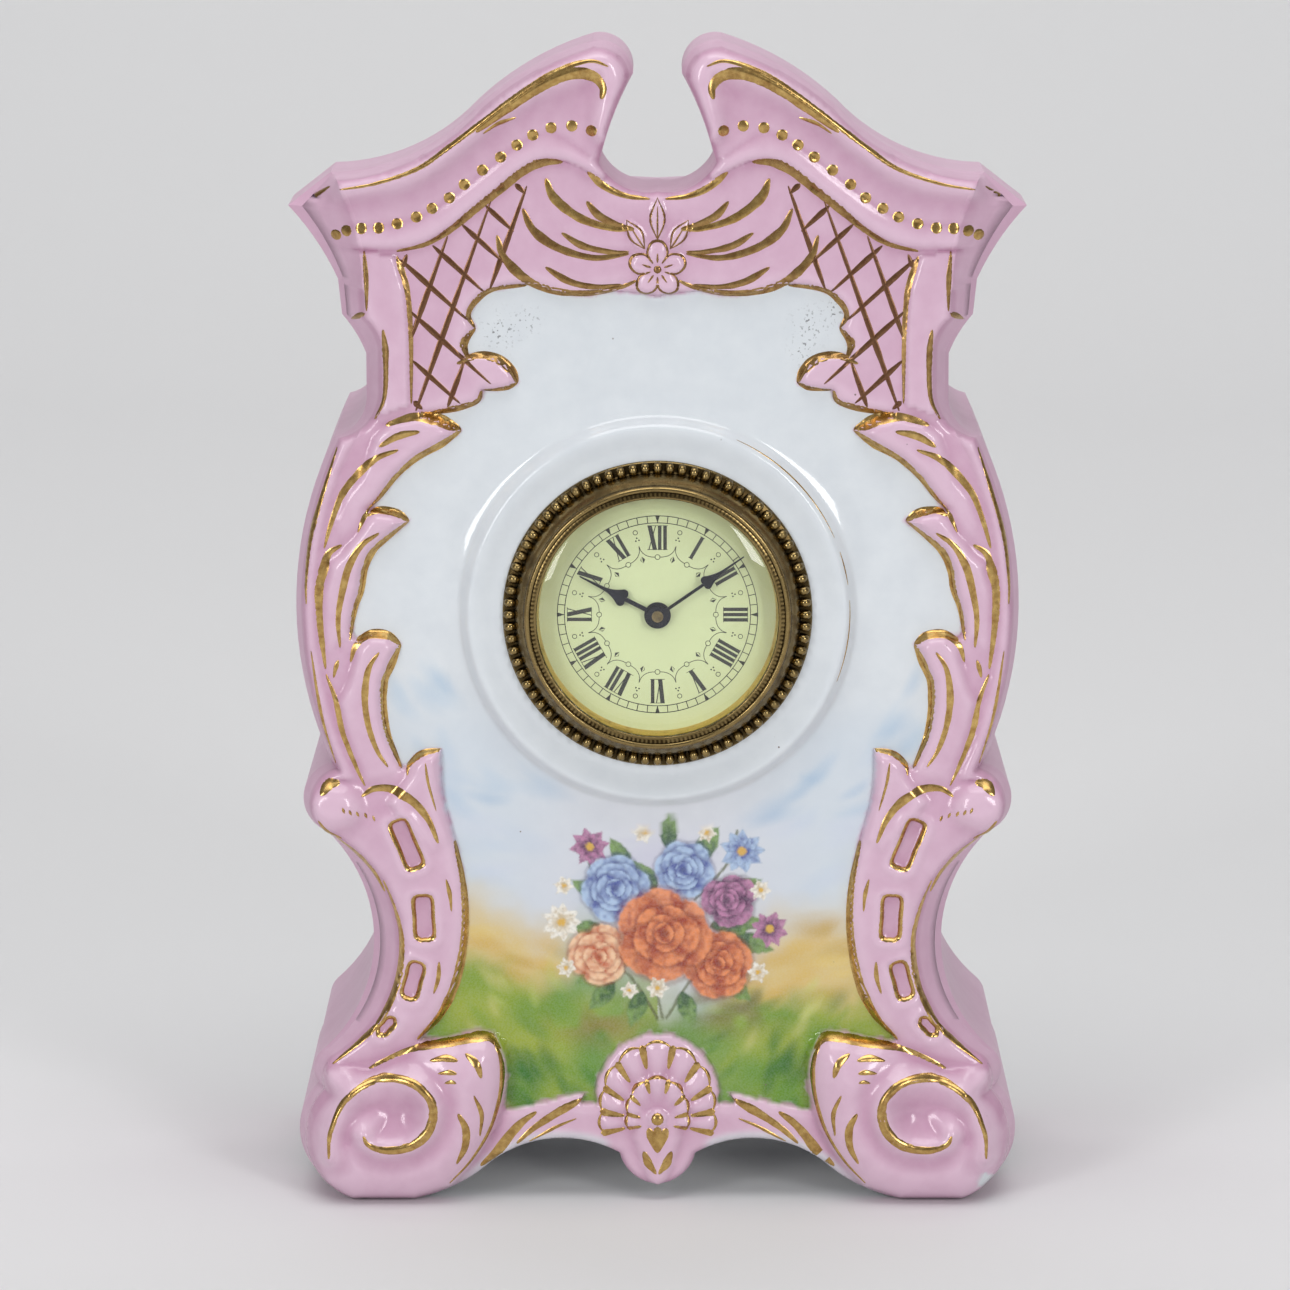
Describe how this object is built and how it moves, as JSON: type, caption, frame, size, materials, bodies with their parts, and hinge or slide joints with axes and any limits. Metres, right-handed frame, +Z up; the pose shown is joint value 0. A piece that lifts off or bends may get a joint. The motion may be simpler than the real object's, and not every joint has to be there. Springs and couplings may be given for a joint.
{
  "type": "mantel clock",
  "caption": "Waisted porcelain mantel clock with a broken swan-neck pediment, scroll feet, brass bezel and a key-wound lever movement in a drum.",
  "frame": {"origin": "on the standing plane, under the middle of the case", "axes": "+Z up, the dial faces -Y, +X to the right of someone who reads the dial"},
  "size_m": [0.155, 0.08, 0.2487],
  "materials": {
    "glazed_porcelain": "glossy glaze, pink wash over white with worn gilding and soft painted colours",
    "antique_brass": "aged, brown in the hollows, polished on the rolls",
    "clear_glass": "clear, bevelled",
    "dial_print": "matt pale yellow-green with black print",
    "black_steel": "blue-black, satin",
    "nickel": "dull nickel plate",
    "screw_steel": "turned steel",
    "plate_brass": "grained",
    "wheel_brass": "satin",
    "arbor_steel": "turned",
    "spring_steel": "blued",
    "key_brass": "handled brass"
  },
  "bodies": {
    "frame": {"porcelain_front": "glazed_porcelain", "porcelain_side_right": "glazed_porcelain", "porcelain_side_left": "glazed_porcelain", "porcelain_crown": "glazed_porcelain", "porcelain_back": "glazed_porcelain", "bezel_ring": "antique_brass", "sight_ring": "antique_brass", "dial_glass": "clear_glass", "dial": "dial_print", "dial_feet": "plate_brass", "drum_shell": "nickel", "drum_back_cover": "nickel", "drum_screws": "screw_steel", "retaining_collar": "nickel", "collar_screw": "screw_steel", "front_plate": "plate_brass", "back_plate": "plate_brass", "plate_pillars": "plate_brass", "pillar_nuts": "screw_steel", "minute_stud": "screw_steel", "click_screw": "screw_steel", "click_spring": "spring_steel", "hairspring": "spring_steel", "hairspring_stud": "wheel_brass", "balance_screws": "screw_steel"},
    "centre_group": {"centre_arbor": "arbor_steel", "centre_wheel": "wheel_brass", "clutch_spring": "wheel_brass", "cannon_pinion": "arbor_steel", "minute_hand": "black_steel", "hand_nut": "wheel_brass", "setting_knob": "key_brass"},
    "minute_group": {"minute_wheel": "wheel_brass"},
    "hour_group": {"hour_wheel": "wheel_brass", "hour_hand": "black_steel"},
    "third_group": {"third_arbor": "arbor_steel", "third_wheel": "wheel_brass"},
    "fourth_group": {"fourth_arbor": "arbor_steel", "fourth_wheel": "wheel_brass"},
    "escape_group": {"escape_arbor": "arbor_steel", "escape_wheel": "wheel_brass"},
    "barrel_group": {"barrel": "wheel_brass", "barrel_cover": "wheel_brass", "mainspring": "spring_steel"},
    "winding_group": {"winding_arbor": "arbor_steel", "ratchet_wheel": "arbor_steel", "winding_key": "key_brass"},
    "click_group": {"click": "arbor_steel"},
    "lever_group": {"pallet_lever": "wheel_brass", "lever_arbor": "arbor_steel"},
    "balance_group": {"balance_wheel": "wheel_brass", "balance_staff": "arbor_steel"},
    "regulator_group": {"regulator": "arbor_steel"}
  },
  "joints": [
    {"name": "centre_turn", "type": "hinge", "parent": "frame", "child": "centre_group", "pos_m": [0, -0.018, 0.1286], "axis": [0, 1, 0], "continuous": true},
    {"name": "minute_wheel_turn", "type": "hinge", "parent": "frame", "child": "minute_group", "pos_m": [0, -0.018, 0.1196], "axis": [0, 1, 0], "continuous": true},
    {"name": "hour_turn", "type": "hinge", "parent": "frame", "child": "hour_group", "pos_m": [0, -0.018, 0.1286], "axis": [0, 1, 0], "continuous": true},
    {"name": "third_turn", "type": "hinge", "parent": "frame", "child": "third_group", "pos_m": [0.01218, -0.018, 0.12417], "axis": [0, 1, 0], "continuous": true},
    {"name": "fourth_turn", "type": "hinge", "parent": "frame", "child": "fourth_group", "pos_m": [0.01111, -0.018, 0.13636], "axis": [0, 1, 0], "continuous": true},
    {"name": "escape_turn", "type": "hinge", "parent": "frame", "child": "escape_group", "pos_m": [0.00176, -0.018, 0.14176], "axis": [0, 1, 0], "continuous": true},
    {"name": "barrel_turn", "type": "hinge", "parent": "frame", "child": "barrel_group", "pos_m": [-0.0099, -0.018, 0.1187], "axis": [0, 1, 0], "continuous": true},
    {"name": "winding_turn", "type": "hinge", "parent": "frame", "child": "winding_group", "pos_m": [-0.0099, -0.018, 0.1187], "axis": [0, 1, 0], "continuous": true},
    {"name": "click_drop", "type": "hinge", "parent": "frame", "child": "click_group", "pos_m": [-0.0059, -0.018, 0.11177], "axis": [0, 1, 0], "range_deg": [-7, 0]},
    {"name": "balance_swing", "type": "hinge", "parent": "frame", "child": "balance_group", "pos_m": [-0.01349, -0.018, 0.13831], "axis": [0, 1, 0], "range_deg": [-24, 24], "stiffness_Nm_per_rad": 0.000012},
    {"name": "lever_rock", "type": "hinge", "parent": "frame", "child": "lever_group", "pos_m": [-0.00533, -0.018, 0.14051], "axis": [0, 1, 0], "range_deg": [-8.5, 8.5]},
    {"name": "regulator_turn", "type": "hinge", "parent": "frame", "child": "regulator_group", "pos_m": [-0.01349, -0.018, 0.13831], "axis": [0, 1, 0], "range_deg": [-20, 20]}
  ],
  "couplings": [
    {"joint": "minute_wheel_turn", "follows": "centre_turn", "ratio": -0.33333},
    {"joint": "hour_turn", "follows": "centre_turn", "ratio": 0.083333},
    {"joint": "third_turn", "follows": "centre_turn", "ratio": -8},
    {"joint": "fourth_turn", "follows": "centre_turn", "ratio": 60},
    {"joint": "escape_turn", "follows": "centre_turn", "ratio": -480},
    {"joint": "barrel_turn", "follows": "centre_turn", "ratio": -0.16667},
    {"joint": "lever_rock", "follows": "balance_swing", "ratio": -0.33333}
  ]
}
